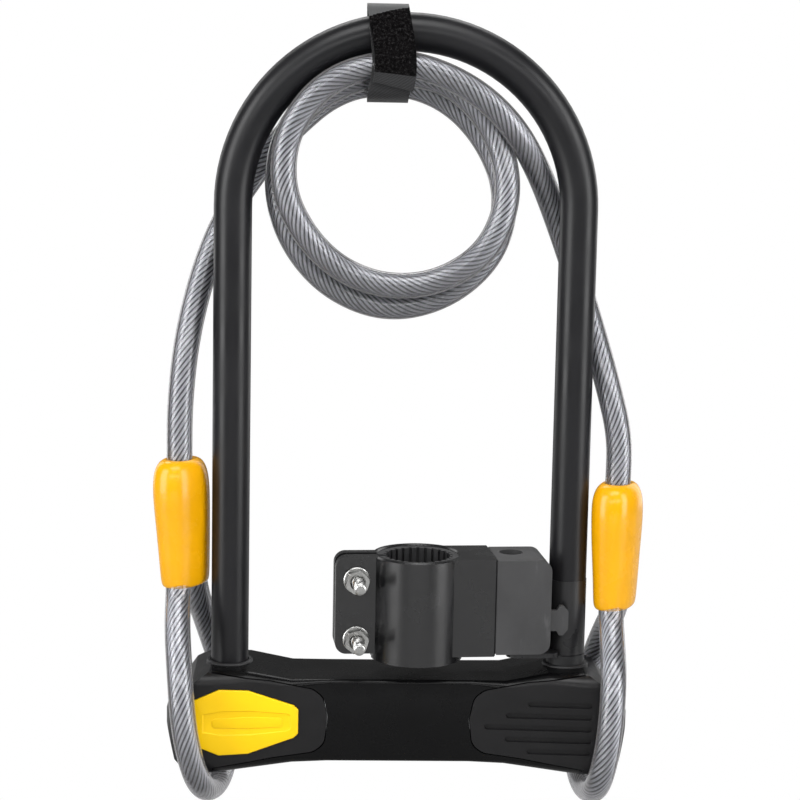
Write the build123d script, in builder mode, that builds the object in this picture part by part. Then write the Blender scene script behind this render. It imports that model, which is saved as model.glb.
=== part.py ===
"""U lock with a looped steel cable, its strap, and the bracket that carries it on a bicycle frame.

Millimetres. X runs across the U to the right, Y runs from the front to the back, Z is up.
The origin is the lowest point of the inside of the bend, where the lock hangs over a peg.
"""
import os
from math import atan2, cos, degrees, pi, radians, sin, tan

from build123d import *

os.makedirs("parts", exist_ok=True)

# ---- driving dimensions -------------------------------------------------------------------
bar_radius = 6.5              # hardened steel bar of the shackle
sleeve_wall = 0.9             # vinyl coating on the bar
leg_x = 67.0                  # half the distance between the leg axes
crossbar_z = -260.0           # long axis of the crossbar
bolt_throw = 4.0              # travel of each deadbolt
cable_radius = 5.0            # steel cable with its clear sheath
bracket_turn = 4.4            # swivel of the bracket about the right leg at rest, degrees

coated_radius = bar_radius + sleeve_wall
bend_z = coated_radius - leg_x        # centre of the bend
foot_z = crossbar_z - 8.0             # lower ends of the bar
left_sleeve_z = crossbar_z + 17.0     # the coating ends inside the left seal
collar_top_z = crossbar_z + 54.5      # on the right leg it ends on top of the collar
collar_bottom_z = crossbar_z + 24.5

running_gap = 0.05
free_gap = 0.3

# crossbar shell
shell_half_depth = 17.0
shell_half_height = 16.2
shell_bottom = 16.9
end_half_depth = 21.0
end_top = 19.5
end_bottom = 21.7
end_round = 6.0                       # rounding of the long edges at the very ends
nose_radius = 25.0                    # round end of the shell, about the leg axis
flare_start_x = 28.0                  # where the front and back begin to spread
front_corner_x = leg_x + (nose_radius**2 - end_half_depth**2) ** 0.5
shell_gap = 0.35                      # visible joint between the cover and the end caps
shell_round = 4.5                     # rounding of the shell's long edges beside the legs
cover_round = 1.6                     # crisper edges along the middle
shell_crown = 1.3                     # bulge of the front and back faces along the middle

badge_depth = 0.9
groove_starts = (22.8, 14.2, 5.8, 14.0, 22.8)
groove_end = 48.0
groove_width = 2.2
seal_radius = 9.2
seal_depth = 3.0
seal_lip = 0.9
seal_neck = collar_bottom_z - free_gap - (crossbar_z + end_top)     # up to the collar on the right leg

# crossbar core
tube_radius = 13.5
tube_bore = 11.0
tube_half_length = 80.5
end_plug_wall = 5.0
plug_radius = 6.2
plug_bottom_z = crossbar_z - 14.3
cam_top_z = crossbar_z - 2.4
cam_bottom_z = crossbar_z - 5.2
cam_radius = 9.6
pin_start = 4.1                       # drive pin radius with the bolts drawn in
pin_radius = 1.1
bolt_radius = 4.5
bolt_tip_x = 59.9
case_half_length = 24.0
case_pin_x = 17.0
spigot_side = 3.6
dust_pivot_x = 13.0
dust_length = 22.5
dust_top_z = crossbar_z - 14.8
dust_bottom_z = crossbar_z - 16.1

# bracket, in the plane of the right leg
barrel_x = -60.2
barrel_radius = 18.2
barrel_bore = 16.0
liner_radius = 12.7
barrel_top_z = crossbar_z + 65.0
barrel_bottom_z = crossbar_z + 23.4
ear_bottom_z = crossbar_z + 26.0
block_left_x = -30.5
block_right_x = -8.7
block_half_depth = 13.0
block_bottom_z = crossbar_z + 26.7
block_top_z = crossbar_z + 64.4
ear_bolt_x = -84.9
ear_bolt_levels = (crossbar_z + 32.0, crossbar_z + 55.7)
catch_z = crossbar_z + 39.9
slit = 3.0
ear_left_x = -93.1
ear_half_depth = 6.0
ear_bolt_radius = 2.5
ear_bolt_length = 28.5
nut_radius = 5.0
washer_wall = 1.0
liner_grooves = 26
collar_radius = coated_radius + 0.2
base_wall = 1.8
rail_neck = 3.0                       # half widths of the T rail on the collar
rail_head = 6.0
rail_left_x = -15.6
rail_head_x = -12.0
rail_top_z = collar_top_z
catch_depth = 9.4                     # the catch runs in front of the collar
catch_wall = 2.0
catch_height = 8.4
catch_spring_radius = 1.0
catch_spring_height = 3.4
block_screw_place = (-22.5, 3.0)
seam_chamfer = 0.5                    # where the ring and the block meet

# cable loops and their ferrules
left_ferrule_top = (-86.9, 0.0, -159.0)
left_ferrule_bottom = (-84.6, 0.0, -209.3)
right_ferrule_top = (86.0, 0.0, -166.6)
right_ferrule_bottom = (86.2, 0.0, -216.8)
strand_turn = 62.0                    # direction from the front strand to the back one, degrees
strand_offset = (cable_radius * cos(radians(strand_turn)), cable_radius * sin(radians(strand_turn)))

# cable coil and the strap round it
coil_centre = (-6.2, -52.7)
coil_outer = 49.6
coil_inner = 36.0
coil_front_y = -14.2
coil_back_y = 16.8
strap_x = -7.3
strap_width = 16.5
strap_wall = 1.4
strap_depth = coil_back_y - coil_front_y + 0.8
strap_height = 34.4

on_base = (Align.CENTER, Align.CENTER, Align.MIN)
under_base = (Align.CENTER, Align.CENTER, Align.MAX)
leg_plane = Plane(origin=(leg_x, 0, 0), x_dir=(cos(radians(bracket_turn)), sin(radians(bracket_turn)), 0))
across_bracket = Axis(leg_plane.origin, leg_plane.x_dir)
catch_spring_base = leg_plane.from_local_coords(Vector(-16.1, -catch_depth - catch_wall / 2, catch_z))
face_tilt = atan2(end_half_depth - shell_half_depth, front_corner_x - flare_start_x)
right_face = Plane(
    origin=(flare_start_x, -shell_half_depth, crossbar_z),
    x_dir=(cos(face_tilt), -sin(face_tilt), 0),
    z_dir=(-sin(face_tilt), -cos(face_tilt), 0),
)
left_face = Plane(
    origin=(-flare_start_x, -shell_half_depth, crossbar_z),
    x_dir=(cos(face_tilt), sin(face_tilt), 0),
    z_dir=(sin(face_tilt), -cos(face_tilt), 0),
)


def save(builder, name):
    """Label a finished piece and write its STEP file."""
    builder.part.label = name
    export_step(builder.part, f"parts/{name}.step")


# ---- shackle ------------------------------------------------------------------------------
def shackle_line(left_z, right_z):
    """Legs and bend of the U, drawn in the XZ plane from the left end to the right end."""
    Line((-leg_x, left_z), (-leg_x, bend_z))
    ThreePointArc((-leg_x, bend_z), (0, bend_z + leg_x), (leg_x, bend_z))
    Line((leg_x, bend_z), (leg_x, right_z))


with BuildPart() as shackle_bar:
    with BuildLine(Plane.XZ):
        shackle_line(foot_z, foot_z)
    with BuildSketch(Plane((-leg_x, 0, foot_z))):
        Circle(bar_radius)
    sweep()
    chamfer(shackle_bar.edges().group_by(Axis.Z)[0], 1.2)
    notch_depth = bar_radius - 2.0
    notch_x = leg_x - bar_radius + notch_depth / 2
    with Locations((-notch_x, 0, crossbar_z), (notch_x, 0, crossbar_z)):
        Box(notch_depth, 4 * bar_radius, 2 * bolt_radius + 1, mode=Mode.SUBTRACT)
save(shackle_bar, "shackle_bar")

with BuildPart() as shackle_sleeve:
    with BuildLine(Plane.XZ):
        shackle_line(left_sleeve_z, collar_top_z)
    with BuildSketch(Plane((-leg_x, 0, left_sleeve_z))):
        Circle(coated_radius)
        Circle(bar_radius, mode=Mode.SUBTRACT)
    sweep()
save(shackle_sleeve, "shackle_sleeve")


# ---- crossbar shell -----------------------------------------------------------------------
def shell_section(x, top, bottom, crown, rounding):
    """Cross-section of the shell: it widens from flare_start_x on, and its front and back bulge by crown."""
    middle = shell_half_depth + max(0, x - flare_start_x) * tan(face_tilt)
    corner = middle - crown
    top_z, middle_z, bottom_z = crossbar_z + top, crossbar_z + (top - bottom) / 2, crossbar_z - bottom
    with BuildSketch(Plane.YZ.offset(x)) as section:
        with BuildLine():
            Line((-corner, top_z), (corner, top_z))
            ThreePointArc((corner, top_z), (middle, middle_z), (corner, bottom_z))
            Line((corner, bottom_z), (-corner, bottom_z))
            ThreePointArc((-corner, bottom_z), (-middle, middle_z), (-corner, top_z))
        make_face()
        fillet(section.vertices(), rounding)
    return section.sketch


def shell_envelope():
    """Outer form of the whole crossbar: ruled spans between sections, then rounded ends."""
    end_x = leg_x + nose_radius
    flat = 0.05
    stations = [
        (0, shell_half_height, shell_bottom, shell_crown, cover_round),
        (flare_start_x, shell_half_height, shell_bottom, shell_crown, cover_round),
        (42, shell_half_height, shell_bottom + 0.5, shell_crown / 2, (cover_round + shell_round) / 2),
        (59, end_top, shell_bottom + 2.8, flat, shell_round),
        (72, end_top, end_bottom, flat, end_round),
        (end_x, end_top, end_bottom, flat, end_round),
    ]
    # The ends fall away beyond the legs, steeply at the top and short at the bottom.
    side_view = [(0, 30), (74.2, 30), (74.2, end_top), (80.8, 15.6), (end_x - 0.4, 1.5), (end_x - 0.4, -4.5)]
    side_view += [(88.0, -17.0), (81.0, -end_bottom), (81.0, -30), (0, -30)]
    with BuildPart() as envelope:
        for near, far in zip(stations, stations[1:]):
            loft([shell_section(*near), shell_section(*far)], ruled=True)
        with BuildSketch(Plane.XY.offset(crossbar_z - 30)):
            with Locations((leg_x, 0)):
                Circle(nose_radius)
            with Locations((leg_x / 2 - 5, 0)):
                Rectangle(leg_x + 10, 2 * nose_radius)
        extrude(amount=60, mode=Mode.INTERSECT)
        with BuildSketch(Plane.XZ.offset(-30)) as silhouette:
            with BuildLine():
                Polyline(*[(x, crossbar_z + z) for x, z in side_view], close=True)
            make_face()
            fillet([v for v in silhouette.vertices() if abs(v.Z - crossbar_z) < end_bottom - 1 and v.X > 75], 3)
        extrude(amount=60, mode=Mode.INTERSECT)
        mirror(about=Plane.YZ)
    return envelope.part


def cap_outline(side, grow):
    """Region taken by one end cap in the front view, with its tongue; side is -1 or +1.

    Its top edge slopes up to the leg's far side, so the cover's top skin carries on round the leg.
    """
    outline = [
        (leg_x + 30, 30),
        (leg_x + 6.4 - grow, 30),
        (leg_x + 6.4 - grow, 18.9 + grow),
        (51 - grow, 16.2 + grow),
        (34 - grow, 12.6 + grow),
        (29.8 - grow, 9.5 + grow),
        (28 - grow, 1.0),
        (29.2 - grow, -9.3 - grow),
        (33.5 - grow, -12.6 - grow),
        (49, -14.4 - grow),
        (73, -18.6 - grow),
        (75, -30),
        (leg_x + 30, -30),
    ]
    with BuildSketch(Plane.XZ.offset(-30)) as region:
        with BuildLine():
            Polyline(*[(side * x, crossbar_z + z) for x, z in outline], close=True)
        make_face()
        fillet([v for v in region.vertices() if abs(v.X) < 36], 6)
    return region.sketch


envelope_solid = shell_envelope()

with BuildPart() as crossbar_cover:
    add(envelope_solid)
    for side in (-1, 1):
        extrude(cap_outline(side, shell_gap), amount=60, mode=Mode.SUBTRACT)
    with Locations((0, 0, crossbar_z)):
        Cylinder(tube_radius, 2 * tube_half_length, rotation=(0, 90, 0), mode=Mode.SUBTRACT)
    seat_z = crossbar_z + end_top - seal_depth
    with Locations((-leg_x, 0, seat_z), (leg_x, 0, seat_z)):
        Cylinder(seal_radius, 10, align=on_base, mode=Mode.SUBTRACT)
    with Locations((0, 0, crossbar_z - 15)):
        Cylinder(plug_radius + free_gap, 12, mode=Mode.SUBTRACT)
    with BuildSketch(Plane.XY.offset(dust_top_z + 0.2)):
        with Locations((dust_pivot_x, 0)):
            Circle(dust_length + 1.2)
        with Locations((dust_pivot_x - 10, 6)):
            Rectangle(44, 30, mode=Mode.INTERSECT)
    extrude(amount=-5, mode=Mode.SUBTRACT)
    with Locations((dust_pivot_x, 0, dust_top_z + 0.2)):
        Cylinder(1.25, 1.0, align=(Align.CENTER, Align.CENTER, Align.MIN), mode=Mode.SUBTRACT)
save(crossbar_cover, "crossbar_cover")


def cap_body(side, leg_radius):
    """Fill the open part with one end of the shell, bored for the tube, the leg and its seal."""
    add(envelope_solid)
    extrude(cap_outline(side, 0), amount=60, mode=Mode.INTERSECT)
    with Locations((side * tube_half_length / 2, 0, crossbar_z)):
        Cylinder(tube_radius, tube_half_length, rotation=(0, 90, 0), mode=Mode.SUBTRACT)
    with Locations((side * leg_x, 0, crossbar_z + 15)):
        Cylinder(leg_radius + free_gap, 20, mode=Mode.SUBTRACT)
    with Locations((side * leg_x, 0, crossbar_z + end_top - seal_depth)):
        Cylinder(seal_radius, 10, align=on_base, mode=Mode.SUBTRACT)


def badge_sketch(plane, grow):
    """Long hexagonal badge on the sloping front of the left cap."""
    half = [(-11.4, 4.8), (-13.1, 6.5), (-31.0, 12.7), (-42.5, 13.2), (-52.2, 9.0)]
    with BuildSketch(plane) as sketch:
        with BuildLine():
            Polyline(*half, *[(x, -y) for x, y in reversed(half)], close=True)
        make_face()
        offset(amount=grow)
    return sketch.sketch


with BuildPart() as left_end_cap:
    cap_body(-1, coated_radius)
    extrude(badge_sketch(left_face, 0.2), amount=-badge_depth, mode=Mode.SUBTRACT)
save(left_end_cap, "left_end_cap")

with BuildPart() as right_end_cap:
    cap_body(1, bar_radius)
    for index, start in enumerate(groove_starts):
        with BuildSketch(right_face):
            with Locations(((start + groove_end) / 2, 7.8 - 4.8 * index)):
                SlotOverall(groove_end - start, groove_width)
        extrude(amount=-1.1, mode=Mode.SUBTRACT)
save(right_end_cap, "right_end_cap")

with BuildPart() as badge_plate:
    extrude(badge_sketch(left_face.offset(-badge_depth), 0), amount=badge_depth + 1.0)
    chamfer(badge_plate.faces().sort_by(Axis.Y)[0].edges(), 0.4)
save(badge_plate, "badge_plate")


# ---- crossbar core ------------------------------------------------------------------------
with BuildPart() as crossbar_tube:
    with Locations((0, 0, crossbar_z)):
        Cylinder(tube_radius, 2 * tube_half_length, rotation=(0, 90, 0))
        Cylinder(tube_bore, 2 * tube_half_length, rotation=(0, 90, 0), mode=Mode.SUBTRACT)
    with Locations((-leg_x, 0, crossbar_z), (leg_x, 0, crossbar_z)):
        Cylinder(bar_radius + free_gap, 20, align=on_base, mode=Mode.SUBTRACT)
    with Locations((0, 0, crossbar_z)):
        Cylinder(plug_radius + free_gap, 20, align=under_base, mode=Mode.SUBTRACT)
    with Locations((-case_pin_x, 0, crossbar_z), (case_pin_x, 0, crossbar_z)):
        Cylinder(2.0, 20, align=on_base, mode=Mode.SUBTRACT)
save(crossbar_tube, "crossbar_tube")

with BuildPart() as lock_case:
    with Locations((0, 0, crossbar_z)):
        Cylinder(tube_bore, 2 * case_half_length, rotation=(0, 90, 0))
        Cylinder(bolt_radius + running_gap, 2 * case_half_length, rotation=(0, 90, 0), mode=Mode.SUBTRACT)
    with Locations((0, 0, cam_bottom_z - 0.2)):
        Cylinder(cam_radius + free_gap, 9.5, align=on_base, mode=Mode.SUBTRACT)
        Cylinder(plug_radius + running_gap, 20, align=under_base, mode=Mode.SUBTRACT)
    with Locations((-case_pin_x, 0, crossbar_z), (case_pin_x, 0, crossbar_z)):
        Cylinder(2.0, 20, align=on_base, mode=Mode.SUBTRACT)
save(lock_case, "lock_case")

with BuildPart() as case_pins:
    for side in (-1, 1):
        with Locations((side * case_pin_x, 0, crossbar_z + bolt_radius + 0.5)):
            Cylinder(2.0, 8.0, align=on_base)
            Cylinder(1.0, 8.0, align=on_base, mode=Mode.SUBTRACT)
save(case_pins, "case_pins")

with BuildPart() as lock_plug:
    with Locations((0, 0, plug_bottom_z)):
        Cylinder(plug_radius, cam_bottom_z - 0.2 - plug_bottom_z, align=on_base)
    with Locations((0, 0, cam_bottom_z - 0.2)):
        Box(spigot_side, spigot_side, cam_top_z - cam_bottom_z + 0.2, align=on_base)
    with Locations((0, 0, plug_bottom_z)):
        Box(2.0, 8.4, 7.5, align=on_base, mode=Mode.SUBTRACT)
        Box(3.4, 3.4, 7.5, align=on_base, mode=Mode.SUBTRACT)
    chamfer(lock_plug.faces().sort_by(Axis.Z)[0].outer_wire().edges(), 0.4)
save(lock_plug, "lock_plug")

with BuildPart() as cam_disc:
    with Locations((0, 0, cam_bottom_z)):
        Cylinder(cam_radius, cam_top_z - cam_bottom_z, align=on_base)
        Box(spigot_side, spigot_side, 10, mode=Mode.SUBTRACT)
    # Each slot is an Archimedean spiral, so a quarter turn moves its bolt by bolt_throw.
    spiral_steps = 12
    spiral_angles = [radians(3 - 96 * step / spiral_steps) for step in range(spiral_steps + 1)]
    with BuildSketch(Plane.XY.offset(cam_bottom_z)):
        for half_turn in (0, pi):
            spiral = []
            for angle in spiral_angles:
                reach = pin_start - bolt_throw * angle / (pi / 2)
                spiral.append((reach * cos(angle + half_turn), reach * sin(angle + half_turn)))
            for (x0, y0), (x1, y1) in zip(spiral, spiral[1:]):
                span = ((x1 - x0) ** 2 + (y1 - y0) ** 2) ** 0.5
                with Locations(((x0 + x1) / 2, (y0 + y1) / 2)):
                    SlotCenterToCenter(span, 2 * pin_radius + 0.1, rotation=degrees(atan2(y1 - y0, x1 - x0)))
    extrude(amount=10, mode=Mode.SUBTRACT)
save(cam_disc, "cam_disc")

for side, name in ((-1, "left"), (1, "right")):
    with BuildPart() as bolt:
        tongue_end = case_half_length / 2
        with Locations((side * (tongue_end + bolt_tip_x) / 2, 0, crossbar_z)):
            Cylinder(bolt_radius, bolt_tip_x - tongue_end, rotation=(0, 90, 0))
        chamfer(bolt.edges().sort_by(Axis.X)[-1 if side > 0 else 0], 1.0)
        with Locations((side * (1.6 + tongue_end) / 2, 0, cam_top_z + 0.3)):
            Box(tongue_end - 1.6, 6.4, 4.2, align=on_base)
    save(bolt, f"{name}_bolt")

    with BuildPart() as drive_pin:
        with Locations((side * pin_start, 0, cam_top_z + 0.3)):
            Cylinder(pin_radius, cam_top_z - cam_bottom_z + 0.1, align=under_base)
    save(drive_pin, f"{name}_drive_pin")

    with BuildPart() as bolt_guide:
        with Locations((side * 47, 0, crossbar_z)):
            Cylinder(tube_bore, 7, rotation=(0, 90, 0))
            Cylinder(bolt_radius + running_gap, 7, rotation=(0, 90, 0), mode=Mode.SUBTRACT)
    save(bolt_guide, f"{name}_bolt_guide")

    with BuildPart() as end_plug:
        with Locations((side * (tube_half_length - end_plug_wall / 2), 0, crossbar_z)):
            Cylinder(tube_bore, end_plug_wall, rotation=(0, 90, 0))
            Cylinder(3, end_plug_wall, rotation=(0, 90, 0), mode=Mode.SUBTRACT)
    save(end_plug, f"{name}_end_plug")

    with BuildPart() as leg_seal:
        inner_radius = (coated_radius if side < 0 else bar_radius) + free_gap
        with Locations((side * leg_x, 0, crossbar_z + end_top - seal_depth)):
            Cylinder(seal_radius, seal_depth + seal_lip, align=on_base)
        fillet(leg_seal.edges().group_by(Axis.Z)[-1], 0.8)
        with Locations((side * leg_x, 0, crossbar_z + end_top)):
            if side > 0:
                Cylinder(collar_radius, seal_neck, align=on_base)
            Cylinder(inner_radius, 20, mode=Mode.SUBTRACT)
    save(leg_seal, f"{name}_leg_seal")

with BuildPart() as keyway_cover:
    with BuildSketch(Plane.XY.offset(dust_bottom_z)):
        with Locations((dust_pivot_x - dust_length / 2 + 3.75, 0)):
            SlotOverall(dust_length + 6.5, 15)
        with Locations((dust_pivot_x, 0)):
            Circle(1.6, mode=Mode.SUBTRACT)
    extrude(amount=dust_top_z - dust_bottom_z)
save(keyway_cover, "keyway_cover")

with BuildPart() as cover_screw:
    with Locations((dust_pivot_x, 0, dust_bottom_z - 0.6)):
        Cylinder(3.0, 0.5, align=on_base)
        Cylinder(1.5, 1.8, align=on_base)
        Cylinder(1.2, 3.0, align=on_base)
        Box(0.8, 4.4, 0.7, mode=Mode.SUBTRACT)
save(cover_screw, "cover_screw")


# ---- collar on the right leg --------------------------------------------------------------
with BuildPart() as collar:
    with BuildSketch(leg_plane.offset(collar_bottom_z)):
        with Locations((-14.5, 0)):
            RectangleRounded(21, 21, 4)
    extrude(amount=base_wall)
    with BuildSketch(leg_plane.offset(collar_bottom_z)):
        Circle(collar_radius)
    extrude(amount=collar_top_z - collar_bottom_z)
    with BuildSketch(leg_plane.offset(collar_bottom_z)):
        with Locations((-9.5, 0)):
            Rectangle(6, 2 * rail_neck)
        with Locations(((rail_left_x + rail_head_x) / 2, 0)):
            Rectangle(rail_head_x - rail_left_x, 2 * rail_head)
    extrude(amount=rail_top_z - collar_bottom_z)
    with Locations((leg_x, 0, crossbar_z + 40)):
        Cylinder(bar_radius + running_gap, 60, mode=Mode.SUBTRACT)
save(collar, "collar")


# ---- bracket ------------------------------------------------------------------------------
def front_plane(y):
    """Plane facing the front, at depth y of the bracket, with its origin on the leg axis."""
    origin = leg_plane.from_local_coords(Vector(0, y, 0))
    return Plane(origin=origin, x_dir=leg_plane.x_dir, z_dir=-leg_plane.y_dir)


with BuildPart() as clamp_ring:
    with BuildSketch(leg_plane.offset(barrel_bottom_z)):
        with Locations((barrel_x, 0)):
            Circle(barrel_radius)
    extrude(amount=barrel_top_z - barrel_bottom_z)
    with BuildSketch(front_plane(block_half_depth)):
        with Locations(((barrel_x + block_left_x) / 2, (barrel_top_z + ear_bottom_z) / 2)):
            Rectangle(block_left_x - barrel_x, barrel_top_z - ear_bottom_z)
    extrude(amount=2 * block_half_depth)
    with BuildSketch(front_plane(ear_half_depth)):
        with Locations(((ear_left_x + barrel_x) / 2, (barrel_top_z + ear_bottom_z) / 2)):
            RectangleRounded(barrel_x - ear_left_x, barrel_top_z - ear_bottom_z, 4.5)
    extrude(amount=2 * ear_half_depth)
    with BuildSketch(leg_plane.offset(barrel_bottom_z)):
        with Locations((barrel_x, 0)):
            Circle(barrel_bore)
        with Locations((barrel_x - 20, 0)):
            Rectangle(40, slit)
    extrude(amount=60, mode=Mode.SUBTRACT)
    with BuildSketch(front_plane(ear_half_depth)):
        with Locations(*[(ear_bolt_x, z) for z in ear_bolt_levels]):
            Circle(ear_bolt_radius + 0.2)
    extrude(amount=2 * ear_half_depth, mode=Mode.SUBTRACT)
    chamfer(clamp_ring.faces().sort_by(Axis.Z)[-1].outer_wire().edges().filter_by(GeomType.CIRCLE), 0.6)
    chamfer(clamp_ring.faces().sort_by(across_bracket)[-1].edges(), seam_chamfer)
save(clamp_ring, "clamp_ring")

with BuildPart() as clamp_liner:
    with BuildSketch(leg_plane.offset(barrel_bottom_z + 0.8)):
        with Locations((barrel_x, 0)):
            Circle(barrel_bore)
            Circle(liner_radius, mode=Mode.SUBTRACT)
            with PolarLocations(liner_radius + 0.2, liner_grooves):
                Rectangle(1.6, 1.2, mode=Mode.SUBTRACT)
        with Locations((barrel_x - 20, 0)):
            Rectangle(40, slit, mode=Mode.SUBTRACT)
    extrude(amount=barrel_top_z - barrel_bottom_z - 1.6)
save(clamp_liner, "clamp_liner")

with BuildPart() as clamp_bolts:
    with BuildSketch(front_plane(ear_half_depth + 3.5)):
        with Locations(*[(ear_bolt_x, z) for z in ear_bolt_levels]):
            RegularPolygon(nut_radius, 6, rotation=30)
    extrude(amount=3.5)
    with BuildSketch(front_plane(ear_half_depth)):
        with Locations(*[(ear_bolt_x, z) for z in ear_bolt_levels]):
            Circle(ear_bolt_radius)
    extrude(amount=ear_bolt_length)
    chamfer(clamp_bolts.faces().group_by(Axis.Y)[0].edges(), 0.6)
save(clamp_bolts, "clamp_bolts")

with BuildPart() as clamp_washers:
    with BuildSketch(front_plane(-ear_half_depth)):
        with Locations(*[(ear_bolt_x, z) for z in ear_bolt_levels]):
            Circle(5.2)
            Circle(ear_bolt_radius, mode=Mode.SUBTRACT)
    extrude(amount=washer_wall)
save(clamp_washers, "clamp_washers")

with BuildPart() as clamp_nuts:
    with BuildSketch(front_plane(-ear_half_depth - washer_wall)):
        with Locations(*[(ear_bolt_x, z) for z in ear_bolt_levels]):
            RegularPolygon(nut_radius, 6, rotation=30)
            Circle(ear_bolt_radius, mode=Mode.SUBTRACT)
    extrude(amount=4.2)
save(clamp_nuts, "clamp_nuts")

with BuildPart() as receiver_block:
    with BuildSketch(front_plane(block_half_depth)):
        with Locations(((block_left_x + block_right_x) / 2, (block_top_z + block_bottom_z) / 2)):
            RectangleRounded(block_right_x - block_left_x, block_top_z - block_bottom_z, 4.5)
        with Locations((block_left_x + 5, (block_top_z + block_bottom_z) / 2)):
            Rectangle(10, block_top_z - block_bottom_z)
    extrude(amount=2 * block_half_depth)
    chamfer(receiver_block.faces().sort_by(across_bracket)[0].edges(), seam_chamfer)
    with BuildSketch(leg_plane.offset(block_bottom_z - 1)):
        with Locations((-9.5, 0)):
            Rectangle(7, 2 * (rail_neck + free_gap))
        with Locations(((rail_left_x + rail_head_x) / 2, 0)):
            Rectangle(rail_head_x - rail_left_x + 2 * free_gap, 2 * (rail_head + free_gap))
    extrude(amount=rail_top_z + 2 * free_gap - block_bottom_z + 1, mode=Mode.SUBTRACT)
    with BuildSketch(front_plane(-catch_depth + free_gap)):
        with Locations((-13.5, catch_z)):
            Rectangle(11, catch_height + 2 * free_gap)
    extrude(amount=catch_wall + 2 * free_gap, mode=Mode.SUBTRACT)
    with BuildSketch(Plane(origin=catch_spring_base, z_dir=-leg_plane.x_dir)):
        Circle(catch_spring_radius + free_gap)
    extrude(amount=catch_spring_height + 3.6, mode=Mode.SUBTRACT)
    with BuildSketch(leg_plane.offset(block_top_z)):
        with Locations(block_screw_place):
            Circle(4.7)
    extrude(amount=-9, mode=Mode.SUBTRACT)
    with BuildSketch(leg_plane.offset(block_top_z)):
        with Locations(block_screw_place):
            Circle(2.0)
    extrude(amount=-26, mode=Mode.SUBTRACT)
save(receiver_block, "receiver_block")

with BuildPart() as block_screw:
    with BuildSketch(leg_plane.offset(block_top_z - 9)):
        with Locations(block_screw_place):
            Circle(4.2)
            RegularPolygon(2.3, 6, mode=Mode.SUBTRACT)
    extrude(amount=4)
    with BuildSketch(leg_plane.offset(block_top_z - 9 + 1.5)):
        with Locations(block_screw_place):
            Circle(4.2)
    extrude(amount=-1.5)
    with BuildSketch(leg_plane.offset(block_top_z - 9)):
        with Locations(block_screw_place):
            Circle(2.0)
    extrude(amount=-16)
save(block_screw, "block_screw")

with BuildPart() as catch:
    with BuildSketch(front_plane(-catch_depth)):
        with BuildLine():
            half = [(-15.8, 0), (-15.8, 4.2), (-6.0, 4.2), (-5.0, 6.0), (-3.4, 6.0), (-1.4, 3.6), (-1.4, 0)]
            Polyline(*[(x, catch_z + z) for x, z in half])
            Polyline(*[(x, catch_z - z) for x, z in half])
        make_face()
    extrude(amount=catch_wall)
save(catch, "catch")

with BuildPart() as catch_spring:
    with BuildLine():
        Helix(pitch=0.95, height=catch_spring_height, radius=catch_spring_radius - 0.25,
              center=catch_spring_base, direction=-leg_plane.x_dir)
    coil_line = catch_spring.pending_edges[0]
    with BuildSketch(Plane(origin=coil_line @ 0, z_dir=coil_line % 0)):
        Circle(0.2)
    sweep(is_frenet=True)
save(catch_spring, "catch_spring")


# ---- cable, its ferrules and the strap ----------------------------------------------------
def corner_radii(route):
    """Largest arcs the runs of a route leave room for: 0.45 of the shorter run as the tangent."""
    radii = []
    for before, corner, after in zip(route, route[1:], route[2:]):
        run_in = Vector(corner) - Vector(before)
        run_out = Vector(after) - Vector(corner)
        turn = radians(run_in.get_angle(run_out))
        radii.append(0.45 * min(run_in.length, run_out.length) / tan(turn / 2))
    return radii


def cable_tube(route, name):
    """One stretch of the cable as a plain tube along straight runs and tangent arcs."""
    radii = corner_radii(route)
    with BuildPart() as tube:
        with BuildLine():
            path = FilletPolyline(*route, radius=radii)
        with BuildSketch(Plane(origin=path @ 0, z_dir=path % 0)):
            Circle(cable_radius)
        sweep()
    save(tube, name)
    ratio = tube.part.volume / (pi * cable_radius**2 * path.length)
    print(name, "length", round(path.length, 1), "volume over section times length", round(ratio, 4))
    print("  radii", [round(radius) for radius in radii])


left_run = [
    (-87.2, 0, left_ferrule_top[2]),
    (-87.2, 0, -137),
    (-84.6, 5, -110),
    (-78.0, 14, -83),
    (-69.0, 18, -62),
    (-57.5, 15.5, -45),
    (-47.0, 12.5, -32),
]
right_run = [
    (86.0, 0, right_ferrule_top[2]),
    (86.0, 0, -148),
    (81.0, 3, -128),
    (74.6, 11, -105),
    (68.0, 18, -84),
    (60.0, 15.5, -63),
    (51.5, 4.5, -45),
    (41.0, -6.5, -28.5),
    (27.5, -9.0, -15.8),
    (11.0, -9.6, -7.4),
]


# Corners of the loops: depth, height, and how far out they stand on the left and on the right.
eye_corners = [
    (-27.5, -240.0, 84.9, 83.0),
    (-31.0, -258.0, 83.4, 81.9),
    (-30.0, -275.0, 80.0, 79.8),
    (-21.5, -286.8, 76.0, 77.8),
    (0.0, -292.2, 71.8, 76.0),
    (21.0, -287.2, 69.0, 75.4),
    (32.0, -272.0, 69.0, 77.6),
    (33.5, -253.0, 71.6, 81.4),
    (25.0, -234.0, 76.6, 85.6),
]


def eye_route(bottom, side):
    """Loop of cable that the crossbar's end passes through, from the front strand to the back one."""
    front_x, front_y = bottom[0] - strand_offset[0], bottom[1] - strand_offset[1]
    back_x, back_y = bottom[0] + strand_offset[0], bottom[1] + strand_offset[1]
    return [
        (front_x, front_y, bottom[2]),
        (front_x, -15.5, bottom[2] - 12.8),
        *[(side * (right_x if side > 0 else left_x), y, z) for y, z, left_x, right_x in eye_corners],
        (back_x, back_y, bottom[2]),
    ]


cable_tube(left_run, "cable_left_run")
cable_tube(right_run, "cable_right_run")
cable_tube(eye_route(left_ferrule_bottom, -1), "left_eye")
cable_tube(eye_route(right_ferrule_bottom, 1), "right_eye")

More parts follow.
